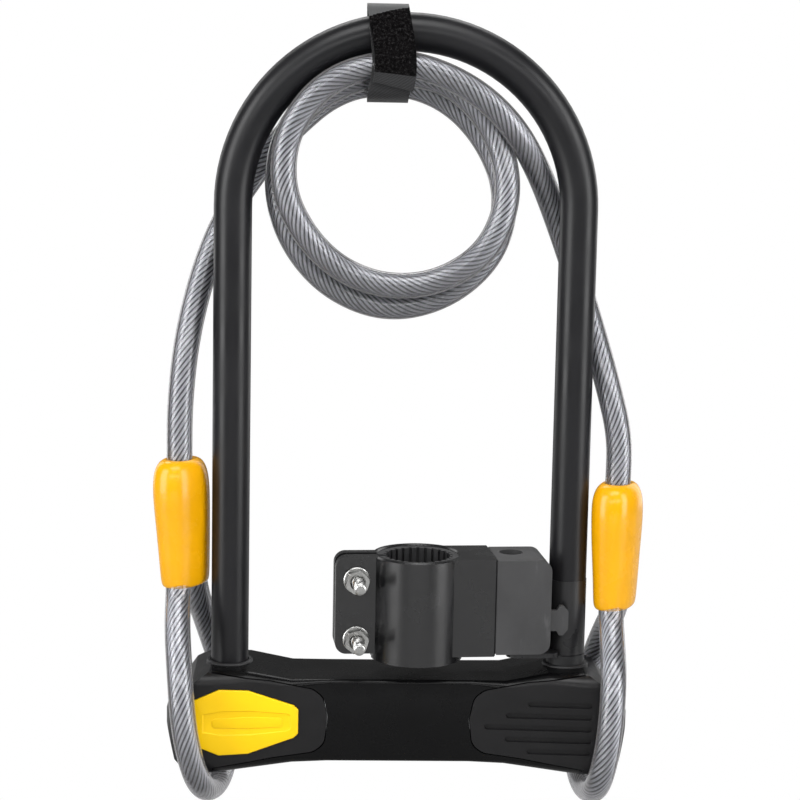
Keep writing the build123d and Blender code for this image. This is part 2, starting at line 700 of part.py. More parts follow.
with BuildPart() as cable_coil:
    with BuildSketch(Plane.XZ.offset(-coil_back_y)):
        with Locations(coil_centre):
            Circle(coil_outer)
            Circle(coil_inner, mode=Mode.SUBTRACT)
    extrude(amount=coil_back_y - coil_front_y)
    fillet(cable_coil.edges(), 4.5)
save(cable_coil, "cable_coil")

with BuildPart() as strap:
    with BuildSketch(Plane.YZ.offset(strap_x - strap_width / 2)):
        with Locations(((coil_front_y + coil_back_y) / 2, -1.2)):
            RectangleRounded(strap_depth + 2 * strap_wall, strap_height + 2 * strap_wall, 6)
            RectangleRounded(strap_depth, strap_height, 6 - strap_wall, mode=Mode.SUBTRACT)
    extrude(amount=strap_width)
save(strap, "strap")


def ferrule_section(centre, lobe_radius):
    """Oval round the two strands of cable that lie side by side in a ferrule."""
    with BuildSketch(Plane(centre)) as section:
        SlotCenterToCenter(2 * cable_radius, 2 * lobe_radius, rotation=strand_turn)
    return section.sketch


for name, top, bottom in (
    ("left", left_ferrule_top, left_ferrule_bottom),
    ("right", right_ferrule_top, right_ferrule_bottom),
):
    crimp_top = bottom[2] + 42
    with BuildPart() as crimp:
        extrude(ferrule_section(bottom, 5.8), amount=42)
        fillet(crimp.faces().sort_by(Axis.Z)[-1].edges(), 1.5)
    save(crimp, f"{name}_crimp")

    with BuildPart() as ferrule_cover:
        loft([ferrule_section(bottom, 7.2), ferrule_section(top, 8.4)])
        fillet(ferrule_cover.faces().sort_by(Axis.Z)[-1].edges(), 3.5)
        add(crimp.part, mode=Mode.SUBTRACT)
    save(ferrule_cover, f"{name}_ferrule_cover")
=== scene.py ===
"""Looks of the U lock, its looped cable and its bracket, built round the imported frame.

Metres, in the frame's own axes: X across the U, Y from the front to the back, Z up, with the
origin at the middle of the bend, on the inside of the bar.
"""

import random
from math import cos, pi, radians, sin, sqrt

import bmesh
import bpy
from mathutils import Matrix, Vector, noise


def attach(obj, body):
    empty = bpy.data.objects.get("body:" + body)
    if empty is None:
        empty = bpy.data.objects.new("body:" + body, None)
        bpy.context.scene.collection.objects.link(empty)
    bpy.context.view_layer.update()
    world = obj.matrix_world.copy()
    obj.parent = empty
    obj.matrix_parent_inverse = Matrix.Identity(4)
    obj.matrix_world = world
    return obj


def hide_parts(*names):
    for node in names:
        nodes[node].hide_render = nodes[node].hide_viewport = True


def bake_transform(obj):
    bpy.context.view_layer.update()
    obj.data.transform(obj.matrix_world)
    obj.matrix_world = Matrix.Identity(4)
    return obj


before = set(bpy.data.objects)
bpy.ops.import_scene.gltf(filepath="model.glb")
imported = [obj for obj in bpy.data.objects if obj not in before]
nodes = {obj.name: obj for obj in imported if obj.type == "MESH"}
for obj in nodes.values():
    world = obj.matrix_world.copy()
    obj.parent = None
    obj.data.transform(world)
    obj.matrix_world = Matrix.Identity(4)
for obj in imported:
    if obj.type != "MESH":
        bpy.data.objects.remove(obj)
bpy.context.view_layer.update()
scene = bpy.context.scene

# ---- sizes shared with the CAD model ------------------------------------------------------
leg_x = 0.067
crossbar_z = -0.260
cable_diameter = 0.010
cable_radius = cable_diameter / 2
bracket_turn = radians(4.4)
strand_turn = radians(62)             # direction from the front strand to the back one
strand_offset = Vector((cable_radius * cos(strand_turn), cable_radius * sin(strand_turn), 0))
left_ferrule_top = Vector((-0.0869, 0, -0.1590))
left_ferrule_bottom = Vector((-0.0846, 0, -0.2093))
right_ferrule_top = Vector((0.0860, 0, -0.1666))
right_ferrule_bottom = Vector((0.0862, 0, -0.2168))
coil_centre = Vector((-0.0062, 0, -0.0527))


# ---- camera -------------------------------------------------------------------------------
def make_camera():
    """Camera almost level with the lock, a little above it and to its left."""
    yaw, elevation, roll = radians(2.39), radians(8.52), radians(1.12)
    target = Vector((0, 0, -0.1348))
    distance = 0.8044
    forward = Vector((sin(yaw) * cos(elevation), cos(yaw) * cos(elevation), -sin(elevation)))
    level = Vector((cos(yaw), -sin(yaw), 0))
    upright = level.cross(forward)
    right = level * cos(roll) + upright * sin(roll)
    up = upright * cos(roll) - level * sin(roll)
    data = bpy.data.cameras.new("camera")
    data.sensor_width = 36
    data.lens = 92.3
    data.shift_x = -0.0036
    data.clip_start = 0.01
    data.clip_end = 50
    camera = bpy.data.objects.new("camera", data)
    scene.collection.objects.link(camera)
    turn = Matrix((right, up, -forward)).transposed().to_4x4()
    camera.matrix_world = Matrix.Translation(target - distance * forward) @ turn
    scene.camera = camera


make_camera()


# ---- materials ----------------------------------------------------------------------------
def new_material(name, colour, roughness, metallic=0.0, **sockets):
    """A Principled material; every number that is the same all over sits on the shader's own socket."""
    material = bpy.data.materials.new(name)
    material.use_nodes = True
    shader = material.node_tree.nodes["Principled BSDF"]
    shader.inputs["Base Color"].default_value = (*colour, 1)
    shader.inputs["Roughness"].default_value = roughness
    shader.inputs["Metallic"].default_value = metallic
    for socket, value in sockets.items():
        shader.inputs[socket.replace("_", " ")].default_value = value
    return material


class Graph:
    """Short forms for adding nodes to a material."""

    def __init__(self, material):
        self.tree = material.node_tree
        self.shader = self.tree.nodes["Principled BSDF"]

    def add(self, kind, **settings):
        node = self.tree.nodes.new("ShaderNode" + kind)
        for name, value in settings.items():
            setattr(node, name, value)
        return node

    def link(self, source, target):
        self.tree.links.new(source, target)

    def place(self, stretch=(1, 1, 1), turn=(0, 0, 0), uv=None):
        """Coordinates in the object's own metres, or in a UV map where one is named."""
        if uv:
            source = self.add("UVMap", uv_map=uv).outputs["UV"]
        else:
            source = self.add("TexCoord").outputs["Object"]
        mapping = self.add("Mapping")
        mapping.inputs["Scale"].default_value = stretch
        mapping.inputs["Rotation"].default_value = turn
        self.link(source, mapping.inputs["Vector"])
        return mapping.outputs["Vector"]

    def noise(self, where, scale, detail=3.0, roughness=0.55, distortion=0.0):
        node = self.add("TexNoise")
        node.inputs["Scale"].default_value = scale
        node.inputs["Detail"].default_value = detail
        node.inputs["Roughness"].default_value = roughness
        node.inputs["Distortion"].default_value = distortion
        self.link(where, node.inputs["Vector"])
        return node.outputs["Fac"]

    def spread(self, value, low, high, to_low=0.0, to_high=1.0):
        """Map a part of a texture's range to the range wanted."""
        node = self.add("MapRange")
        node.inputs["From Min"].default_value = low
        node.inputs["From Max"].default_value = high
        node.inputs["To Min"].default_value = to_low
        node.inputs["To Max"].default_value = to_high
        self.link(value, node.inputs["Value"])
        return node.outputs["Result"]

    def ramp(self, value, *stops):
        """Colour by value; each stop is (position, (r, g, b))."""
        node = self.add("ValToRGB")
        elements = node.color_ramp.elements
        while len(elements) < len(stops):
            elements.new(0.5)
        for element, (position, colour) in zip(elements, stops):
            element.position = position
            element.color = (*colour, 1)
        self.link(value, node.inputs["Fac"])
        return node.outputs["Color"]

    def bump(self, height, strength, distance, under=None):
        node = self.add("Bump")
        node.inputs["Strength"].default_value = strength
        node.inputs["Distance"].default_value = distance
        self.link(height, node.inputs["Height"])
        if under is not None:
            self.link(under, node.inputs["Normal"])
        return node.outputs["Normal"]

    def wave(self, where, scale, distortion=0.0):
        """Smooth bands that follow each other along X."""
        node = self.add("TexWave", wave_profile="SIN", bands_direction="X")
        node.inputs["Scale"].default_value = scale
        node.inputs["Distortion"].default_value = distortion
        self.link(where, node.inputs["Vector"])
        return node.outputs["Fac"]

    def colour(self, source):
        self.link(source, self.shader.inputs["Base Color"])

    def rough(self, source):
        self.link(source, self.shader.inputs["Roughness"])

    def normal(self, source):
        self.link(source, self.shader.inputs["Normal"])


def scaled(colour, factor):
    return tuple(min(1.0, channel * factor) for channel in colour)


def moulded(name, colour, roughness, contrast=0.25, mottle=60, grain=1800, grain_depth=0.00004,
            grain_strength=0.35, ripple=0.00006, **sockets):
    """Plastic or rubber out of a mould: cloudy tone, fine spark-eroded grain and slow ripples."""
    material = new_material(name, colour, roughness, **sockets)
    g = Graph(material)
    where = g.place()
    cloud = g.noise(where, mottle, detail=5, distortion=0.4)
    darker, lighter = scaled(colour, 1 - contrast), scaled(colour, 1 + contrast)
    g.colour(g.ramp(cloud, (0.3, darker), (0.52, colour), (0.75, lighter)))
    polish = g.noise(where, mottle * 2.2, detail=4)
    g.rough(g.spread(polish, 0.3, 0.7, roughness - 0.06, roughness + 0.07))
    fine = g.bump(g.noise(where, grain, detail=2), grain_strength, grain_depth)
    g.normal(g.bump(g.noise(where, 45, detail=1), 0.25, ripple, under=fine))
    return material


def machined(name, colour, roughness, stretch=(1, 1, 14), grain=900):
    """Metal with fine tool or drawing marks along one direction, and uneven polish."""
    material = new_material(name, colour, roughness, metallic=1.0)
    g = Graph(material)
    along = g.place(stretch=stretch)
    marks = g.noise(along, grain, detail=3)
    cloud = g.noise(g.place(), 90, detail=5)
    darker, lighter = scaled(colour, 0.8), scaled(colour, 1.08)
    g.colour(g.ramp(cloud, (0.3, darker), (0.6, colour), (0.8, lighter)))
    g.rough(g.spread(marks, 0.3, 0.7, roughness - 0.07, roughness + 0.1))
    g.normal(g.bump(marks, 0.3, 0.00003))
    return material


vinyl = moulded("sleeve vinyl", (0.0068, 0.0068, 0.0080), 0.36, contrast=0.15, mottle=25, grain=2600,
                grain_depth=0.00002, ripple=0.00003, Specular_IOR_Level=0.33)
gloss_black = moulded("crossbar black", (0.0022, 0.0022, 0.0024), 0.26, contrast=0.15, mottle=35,
                      grain=1500, grain_depth=0.00001, grain_strength=0.2, ripple=0.00008,
                      Specular_IOR_Level=0.16)
cap_black = moulded("cap black", (0.0082, 0.0080, 0.0085), 0.36, contrast=0.2, mottle=50, grain=2800,
                    grain_depth=0.00004, grain_strength=0.4, Specular_IOR_Level=0.25)
rubber = moulded("seal rubber", (0.010, 0.010, 0.011), 0.55, contrast=0.3, mottle=80)
badge_yellow = moulded("badge yellow", (0.89, 0.555, 0.0006), 0.40, contrast=0.05, mottle=40, grain=2200,
                       grain_depth=0.00002, Specular_IOR_Level=0.28)
boot_orange = moulded("ferrule vinyl", (0.76, 0.355, 0.0015), 0.26, contrast=0.06, mottle=45, grain=700,
                      grain_depth=0.00003, ripple=0.0003, Specular_IOR_Level=0.25, Coat_Weight=0.20,
                      Coat_Roughness=0.10)
steel = machined("hardened steel", (0.48, 0.49, 0.50), 0.30)
zinc_plate = machined("zinc plate", (0.46, 0.46, 0.45), 0.30, stretch=(1, 6, 1), grain=420)
cast_zinc = machined("cast zinc", (0.52, 0.52, 0.53), 0.42, stretch=(1, 1, 1), grain=1400)
aluminium = machined("crimp aluminium", (0.72, 0.73, 0.74), 0.34, stretch=(1, 1, 8))
brass = machined("plug brass", (0.75, 0.56, 0.24), 0.26, stretch=(1, 1, 10))


def make_nylon(name, colour, roughness, scuffs, specular=0.40):
    """Glass-filled nylon: cloudy, finely grained, with pale scuffs and short handling scratches."""
    material = moulded(name, colour, roughness, contrast=0.22, mottle=38, grain=1600, grain_depth=0.00004,
                       ripple=0.0001, Specular_IOR_Level=specular)
    g = Graph(material)
    base = g.shader.inputs["Base Color"].links[0].from_socket
    slanted = g.place(stretch=(1, 1, 0.16), turn=(0.2, radians(24), 0))
    scratch = g.noise(slanted, 420, detail=4, distortion=0.3)
    patch = g.noise(g.place(), 55, detail=3)
    both = g.add("Math", operation="MULTIPLY")
    g.link(g.spread(scratch, 0.56, 0.74, 0.0, 1.0), both.inputs[0])
    g.link(g.spread(patch, 0.48, 0.66, 0.0, scuffs), both.inputs[1])
    mix = g.add("Mix", data_type="RGBA")
    g.link(both.outputs["Value"], mix.inputs["Factor"])
    g.link(base, mix.inputs["A"])
    mix.inputs["B"].default_value = (*scaled(colour, 3.2), 1)
    g.colour(mix.outputs["Result"])
    return material


ring_nylon = make_nylon("ring nylon", (0.0055, 0.0055, 0.0060), 0.24, 0.8, specular=0.70)
block_nylon = make_nylon("block nylon", (0.040, 0.040, 0.041), 0.50, 0.7)
collar_nylon = make_nylon("collar nylon", (0.0160, 0.0160, 0.0170), 0.30, 0.3)
catch_nylon = make_nylon("catch nylon", (0.0420, 0.0420, 0.0430), 0.45, 0.3)


strand_count = 12
strand_lay = 0.036                    # the strands turn once round the rope in this length
lay_girth = 3.14                      # width of the UV map named lay, in centimetres


def make_strand_steel():
    """Bright wire rope: fine wires run along each strand, with painted shade as a dark band in the valleys
    between them.

    A wave texture repeats every pi / (10 * scale), which sets one dark band of painted shade in each
    valley.
    """
    material = new_material("cable steel", (0.62, 0.63, 0.66), 0.26, metallic=1.0)
    g = Graph(material)
    valleys = g.wave(g.place(uv="lay"), strand_count / lay_girth * pi / 10)
    wires = g.wave(g.place(stretch=(1, 0.55, 1), uv="lay"), 9.0, distortion=0.5)
    cloud = g.noise(g.place(stretch=(1, 0.25, 1), uv="lay"), 7, detail=5)
    tone = g.ramp(cloud, (0.30, (0.70, 0.71, 0.74)), (0.50, (0.90, 0.91, 0.94)),
                  (0.70, (0.98, 0.99, 1.0)))
    # Painted shade: a dark band in each valley between the strands.
    shade = g.ramp(valleys, (0.05, (0.06, 0.06, 0.065)), (0.36, (0.60, 0.60, 0.61)),
                   (0.66, (1.0, 1.0, 1.0)))
    mix = g.add("Mix", data_type="RGBA", blend_type="MULTIPLY")
    mix.inputs["Factor"].default_value = 1.0
    g.link(tone, mix.inputs["A"])
    g.link(shade, mix.inputs["B"])
    g.colour(mix.outputs["Result"])
    g.rough(g.spread(cloud, 0.3, 0.7, 0.30, 0.46))
    g.normal(g.bump(wires, 0.6, 0.00025))
    return material


def make_sheath():
    """Clear smoky sheath: glossy outside, and milkier where the eye looks along its wall."""
    material = new_material("cable sheath", (0.50, 0.49, 0.50), 0.12)
    g = Graph(material)
    facing = g.add("LayerWeight")
    facing.inputs["Blend"].default_value = 0.5
    haze = g.noise(g.place(uv="lay"), 2.2, detail=3)
    g.rough(g.spread(haze, 0.3, 0.7, 0.10, 0.18))
    g.colour(g.ramp(haze, (0.3, (0.39, 0.38, 0.39)), (0.7, (0.52, 0.51, 0.52))))
    through = g.add("BsdfTransparent")
    through.inputs["Color"].default_value = (0.90, 0.90, 0.92, 1)
    milk = g.spread(facing.outputs["Facing"], 0.40, 0.96, 0.07, 0.72)
    body = g.add("MixShader")
    g.link(milk, body.inputs["Fac"])
    g.link(through.outputs["BSDF"], body.inputs[1])
    g.link(g.shader.outputs["BSDF"], body.inputs[2])
    gloss = g.add("BsdfGlossy")
    gloss.inputs["Color"].default_value = (0.95, 0.95, 0.97, 1)
    g.link(g.spread(haze, 0.3, 0.7, 0.08, 0.16), gloss.inputs["Roughness"])
    ripples = g.bump(g.noise(g.place(uv="lay"), 1.2, detail=2), 0.12, 0.0004)
    g.link(ripples, gloss.inputs["Normal"])
    fresnel = g.add("Fresnel")
    fresnel.inputs["IOR"].default_value = 1.5
    mix = g.add("MixShader")
    g.link(fresnel.outputs["Fac"], mix.inputs["Fac"])
    g.link(body.outputs["Shader"], mix.inputs[1])
    g.link(gloss.outputs["BSDF"], mix.inputs[2])
    g.link(mix.outputs["Shader"], g.tree.nodes["Material Output"].inputs["Surface"])
    return material


strand_steel = make_strand_steel()
sheath_clear = make_sheath()


# ---- mesh helpers -------------------------------------------------------------------------
def new_piece(name, vertices, faces, material, smooth=True):
    """A mesh object whose points are in the frame's own axes."""
    mesh = bpy.data.meshes.new(name)
    mesh.from_pydata([tuple(v) for v in vertices], [], faces)
    mesh.materials.append(material)
    mesh.polygons.foreach_set("use_smooth", [smooth] * len(mesh.polygons))
    mesh.update()
    piece = bpy.data.objects.new(name, mesh)
    scene.collection.objects.link(piece)
    return piece


def ring_faces(rings, count, closed_ends=True):
    """Quads between rings of count points, and a flat face over each end unless the ends stay open."""
    faces = []
    for ring in range(rings - 1):
        for k in range(count):
            after = (k + 1) % count
            here, above = ring * count, (ring + 1) * count
            faces.append((here + k, here + after, above + after, above + k))
    if closed_ends:
        faces.append(tuple(reversed(range(count))))
        faces.append(tuple((rings - 1) * count + k for k in range(count)))
    return faces


def face_outwards(piece, merge_distance=None):
    """Turn every face outwards, after joining the points that meet where a distance is given."""
    mesh = bmesh.new()
    mesh.from_mesh(piece.data)
    if merge_distance:
        bmesh.ops.remove_doubles(mesh, verts=mesh.verts, dist=merge_distance)
    bmesh.ops.recalc_face_normals(mesh, faces=mesh.faces)
    mesh.to_mesh(piece.data)
    mesh.free()


def lathe(name, profile, material, axis_place, along, count, shape, closed_ends):
    """A turned piece of count points round: profile is (distance along the axis, radius).

    Shape may alter the radius, and is None for a round piece. Without closed ends the profile goes
    round a bore, so its last ring joins its first.
    """
    along = along.normalized()
    side = along.orthogonal().normalized()
    other = along.cross(side)
    vertices = []
    for distance, radius in profile:
        for k in range(count):
            angle = 2 * pi * k / count
            reach = shape(angle, radius, distance) if shape else radius
            spoke = cos(angle) * side + sin(angle) * other
            vertices.append(axis_place + distance * along + reach * spoke)
    faces = ring_faces(len(profile), count, closed_ends)
    if not closed_ends:
        last = (len(profile) - 1) * count
        faces += [(last + k, last + (k + 1) % count, (k + 1) % count, k) for k in range(count)]
    piece = new_piece(name, vertices, faces, material)
    face_outwards(piece, merge_distance=1e-6)
    return piece


def smooth_by_angle(piece, degrees):
    """Keep edges sharper than an angle crisp in the shading."""
    mesh = bmesh.new()
    mesh.from_mesh(piece.data)
    limit = radians(degrees)
    for edge in mesh.edges:
        edge.smooth = len(edge.link_faces) < 2 or edge.calc_face_angle(0) < limit
    mesh.to_mesh(piece.data)
    mesh.free()


def smooth_step(t):
    t = min(1.0, max(0.0, t))
    return t * t * (3 - 2 * t)


# ---- cable --------------------------------------------------------------------------------
# The runs from each ferrule to the coil, as in the CAD model.
left_run = [
    (-0.0872, 0, -0.159),
    (-0.0872, 0, -0.137),
    (-0.0846, 0.005, -0.110),
    (-0.0780, 0.014, -0.083),
    (-0.0690, 0.018, -0.062),
    (-0.0575, 0.0155, -0.045),
    (-0.0470, 0.0125, -0.032),
]
right_run = [
    (0.0860, 0, -0.1666),
    (0.0860, 0, -0.148),
    (0.0810, 0.003, -0.128),
    (0.0746, 0.011, -0.105),
    (0.0680, 0.018, -0.084),
    (0.0600, 0.0155, -0.063),
    (0.0515, 0.0045, -0.045),
    (0.0410, -0.0065, -0.0285),
    (0.0275, -0.0090, -0.0158),
    (0.0110, -0.0096, -0.0074),
]

# Corners of the loops: depth, height, and how far out they stand on the left and on the right.
eye_corners = [
    (-0.0275, -0.2400, 0.0849, 0.0830),
    (-0.0310, -0.2580, 0.0834, 0.0819),
    (-0.0300, -0.2750, 0.0800, 0.0798),
    (-0.0215, -0.2868, 0.0760, 0.0778),
    (0.0000, -0.2922, 0.0718, 0.0760),
    (0.0210, -0.2872, 0.0690, 0.0754),
    (0.0320, -0.2720, 0.0690, 0.0776),
    (0.0335, -0.2530, 0.0716, 0.0814),
    (0.0250, -0.2340, 0.0766, 0.0856),
]


def eye_route(bottom, side):
    """Loop round one end of the crossbar, from the ferrule's front strand to its back one."""
    front = bottom - strand_offset
    back = bottom + strand_offset
    return [
        tuple(front),
        (front.x, -0.0155, bottom.z - 0.0128),
        *[(side * (right_x if side > 0 else left_x), y, z) for y, z, left_x, right_x in eye_corners],
        tuple(back),
    ]


def coil_route():
    """A little over two loose turns, clockwise from the front, each in front of the last.

    Radius and depth are in millimetres, every twelfth of a turn from just left of the top.
    """
    rear_turn = [(42, 12), (40.3, 11), (40.2, 10.5), (40.8, 9.8), (44.5, 7), (46.7, 5.6),
                 (46.2, 4.6), (46, 4.2), (43.8, 4.2), (42.7, 4.8), (43.6, 5.2), (45.6, 4.8)]
    front_turn = [(43.8, 2.1), (44, 1.2), (46, 1), (45, 0), (44.8, -3.5), (43.2, -5),
                  (39.2, -4.6), (36.4, -4.4), (35.5, -4.4), (36.5, -4.8), (40.8, -5.2), (44.8, -6)]
    last_stretch = [(47.2, -8), (47.4, -9.2)]
    stand_out = 1.035                 # the line runs inside its points by this much
    route = []
    for step, (radius, depth) in enumerate(rear_turn + front_turn + last_stretch):
        angle = radians(30 * step - 30)
        reach = radius * stand_out / 1000
        across, height = reach * sin(angle), reach * cos(angle)
        route.append((coil_centre.x + across, depth / 1000, coil_centre.z + height))
    return route


stub = Vector((0, 0, 0.014))          # how far the two cut ends reach into the ferrules
left_eye = eye_route(left_ferrule_bottom, -1)
right_eye = eye_route(right_ferrule_bottom, 1)
cable_route = (
    [tuple(Vector(left_eye[-1]) + stub)]
    + left_eye[::-1]
    + left_run
    + coil_route()
    + right_run[::-1]
    + right_eye
    + [tuple(Vector(right_eye[-1]) + stub)]
)


def line_points(route):
    """The smooth line of a route, as points a millimetre or two apart."""
    curve = bpy.data.curves.new("cable line", "CURVE")
    curve.dimensions = "3D"
    curve.resolution_u = 14
    spline = curve.splines.new("NURBS")
    spline.points.add(len(route) - 1)
    for point, place in zip(spline.points, route):
        point.co = (*place, 1)
    spline.order_u = 3
    spline.use_endpoint_u = True
    line = bpy.data.objects.new("cable line", curve)
    mesh = bpy.data.meshes.new_from_object(line)
    points = [v.co.copy() for v in mesh.vertices]
    bpy.data.meshes.remove(mesh)
    bpy.data.curves.remove(curve)
    return points


def carried_frames(points):
    """Each point of the line, two directions across it that don't twist along it, and the arc length."""
    frames = []
    tangent = (points[1] - points[0]).normalized()
    side = tangent.orthogonal().normalized()
    travelled = 0.0
    for k, point in enumerate(points):
        ahead = points[min(k + 1, len(points) - 1)] - points[max(k - 1, 0)]
        turned = tangent.rotation_difference(ahead.normalized())
        tangent = ahead.normalized()
        side = turned @ side
        side = (side - side.dot(tangent) * tangent).normalized()
        if k:
            travelled += (point - points[k - 1]).length
        frames.append((point, side, tangent.cross(side), travelled))
    return frames


def swept(name, frames, section, material, lay=0.0):
    """A tube of a given section along the line; it turns once round in every lay metres.

    Section holds the radii round it. The UV map named lay holds the way round the section and the
    length along the line, both in centimetres.
    """
    count = len(section)
    vertices = []
    for point, side, other, travelled in frames:
        twist = 2 * pi * travelled / lay if lay else 0.0
        for k, radius in enumerate(section):
            angle = 2 * pi * k / count + twist
            vertices.append(point + radius * (cos(angle) * side + sin(angle) * other))
    faces = ring_faces(len(frames), count)
    piece = new_piece(name, vertices, faces, material)
    layer = piece.data.uv_layers.new(name="lay")
    for polygon in piece.data.polygons:
        corners = [piece.data.loops[i].vertex_index for i in polygon.loop_indices]
        steps = [v % count for v in corners]
        wraps = max(steps) - min(steps) > count / 2
        for i, v, step in zip(polygon.loop_indices, corners, steps):
            turn = step + (count if wraps and step == 0 else 0)
            layer.data[i].uv = (turn / count * lay_girth, frames[v // count][3] * 100)
    return piece


def rope_section(count, centre_radius, strand_radius, steps):
    """Outline of round strands laid side by side in a ring, as radii."""
    section = []
    for k in range(count * steps):
        off = ((k % steps) / steps - 0.5) * 2 * pi / count
        inside = strand_radius**2 - (centre_radius * sin(off)) ** 2
        section.append(centre_radius * cos(off) + sqrt(max(0.0, inside)))
    return section


cable_line = line_points(cable_route)
cable_frames = carried_frames(cable_line)
cable = swept("cable_sheath", cable_frames, [cable_radius] * 32, sheath_clear)
strand_ring_radius, strand_radius, strand_steps = 0.00317, 0.00085, 6
rope = rope_section(strand_count, strand_ring_radius, strand_radius, strand_steps)
strands = swept("cable_strands", cable_frames, rope, strand_steel, lay=strand_lay)


# ---- ferrule boots ------------------------------------------------------------------------
def make_boot(name, top, bottom, seed):
    """Dipped vinyl boot over the pressed ferrule: domed top, slow taper, a soft lip at the bottom."""
    across = Vector((cos(strand_turn), sin(strand_turn), 0))
    square = Vector((-sin(strand_turn), cos(strand_turn), 0))
    # Share of the height from the bottom, half width across the strands, half length along them.
    profile = [
        (0.0, 0.0050, 0.0096), (0.0, 0.0062, 0.0110), (0.010, 0.0070, 0.0118),
        (0.04, 0.0074, 0.0122), (0.10, 0.0076, 0.0124), (0.22, 0.0079, 0.0126),
        (0.36, 0.0083, 0.0129), (0.50, 0.0087, 0.0132), (0.66, 0.0091, 0.0135),
        (0.78, 0.0092, 0.0135), (0.86, 0.0090, 0.0131), (0.92, 0.0084, 0.0123),
        (0.965, 0.0074, 0.0110), (0.99, 0.0062, 0.0092), (1.0, 0.0054, 0.0075),
        (0.998, 0.0051, 0.0056), (0.985, 0.0049, 0.0049),
    ]
    count = 56
    squareness = 2.35                 # 2 is an ellipse, and more is squarer
    dent_depth, dent_scale = 0.00022, 90
    random.seed(seed)
    wobble = Vector((random.uniform(0, 9), random.uniform(0, 9), random.uniform(0, 9)))
    vertices = []
    for share, half_width, half_length in profile:
        centre = bottom.lerp(top, share)
        for k in range(count):
            angle = 2 * pi * k / count
            spread = abs(cos(angle)) ** squareness + abs(sin(angle)) ** squareness
            reach = spread ** (-1 / squareness)
            offset = reach * (cos(angle) * half_length * across + sin(angle) * half_width * square)
            place = centre + offset
            dent = dent_depth * noise.noise(place * dent_scale + wobble)
            vertices.append(place + dent * offset.normalized())
    piece = new_piece(name, vertices, ring_faces(len(profile), count), boot_orange)
    rounding = piece.modifiers.new("rounding", "SUBSURF")
    rounding.levels = 2
    rounding.render_levels = 2
    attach(piece, "crossbar")
    return piece


left_boot = make_boot("left_boot", left_ferrule_top, left_ferrule_bottom, 3)
right_boot = make_boot("right_boot", right_ferrule_top, right_ferrule_bottom, 8)
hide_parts("left_ferrule_cover")
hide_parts("right_ferrule_cover")

for piece, slot in ((cable, "cable_sheath"), (strands, "cable_strand")):
    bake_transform(piece)
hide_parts("cable_coil", "cable_left_run", "cable_right_run", "left_eye", "right_eye")


# ---- strap --------------------------------------------------------------------------------
strap_width = 0.0156
strap_wall = 0.0012


def make_strap_weave():
    """Black nylon tape: fine diagonal ribs, slightly shiny."""
    material = new_material("strap weave", (0.020, 0.020, 0.021), 0.60, Sheen_Weight=0.10,
                            Specular_IOR_Level=0.3)
    g = Graph(material)
    ribs = g.wave(g.place(turn=(0, 0, radians(-50)), uv="tape"), 3.6, distortion=1.6)
    threads = g.noise(g.place(stretch=(1, 5, 1), uv="tape"), 30, detail=4)
    both = g.add("Math", operation="MULTIPLY")
    g.link(ribs, both.inputs[0])
    g.link(threads, both.inputs[1])
    weave = g.ramp(both.outputs["Value"], (0.05, (0.0060, 0.0062, 0.0064)), (0.55, (0.018, 0.018, 0.020)))
    g.colour(weave)
    g.rough(g.spread(g.noise(g.place(uv="tape"), 30, detail=3), 0.3, 0.7, 0.5, 0.75))
    g.normal(g.bump(both.outputs["Value"], 0.7, 0.0002))
    return material


def make_strap_tape():
    """The part of the tape up the back and over the top of the bar: a lighter dark grey than the rest, with
    faint lengthwise threads.
    """
    material = new_material("strap tape", (0.052, 0.053, 0.054), 0.62, Sheen_Weight=0.10,
                            Specular_IOR_Level=0.3)
    g = Graph(material)
    threads = g.noise(g.place(stretch=(9, 1, 1), uv="tape"), 9, detail=4)
    g.colour(g.ramp(threads, (0.3, (0.036, 0.037, 0.038)), (0.7, (0.068, 0.069, 0.070))))
    g.rough(g.spread(threads, 0.3, 0.7, 0.55, 0.72))
    g.normal(g.bump(threads, 0.5, 0.0001))
    return material


def make_strap_pile():
    """Loop pile: short black fuzz, with painted shade in the pits between the tufts and painted highlights
    on their tops.
    """
    material = new_material("strap pile", (0.008, 0.008, 0.008), 0.95, Specular_IOR_Level=0.05)
    g = Graph(material)
    tufts = g.noise(g.place(uv="tape"), 9, detail=7, roughness=0.85)
    fibres = g.noise(g.place(uv="tape"), 60, detail=3, roughness=0.7)
    # Painted shade in the pits and painted highlights on the tufts' tops, from the same noise as their
    # bump.
    g.colour(g.ramp(tufts, (0.44, (0.0004, 0.0004, 0.0005)), (0.53, (0.0060, 0.0055, 0.0058)),
                    (0.62, (0.0380, 0.0355, 0.0365))))
    g.rough(g.spread(fibres, 0.3, 0.7, 0.8, 1.0))
    g.normal(g.bump(fibres, 0.9, 0.0004, under=g.bump(tufts, 1.0, 0.0012)))
    return material


strap_weave = make_strap_weave()
strap_tape = make_strap_tape()
strap_pile = make_strap_pile()

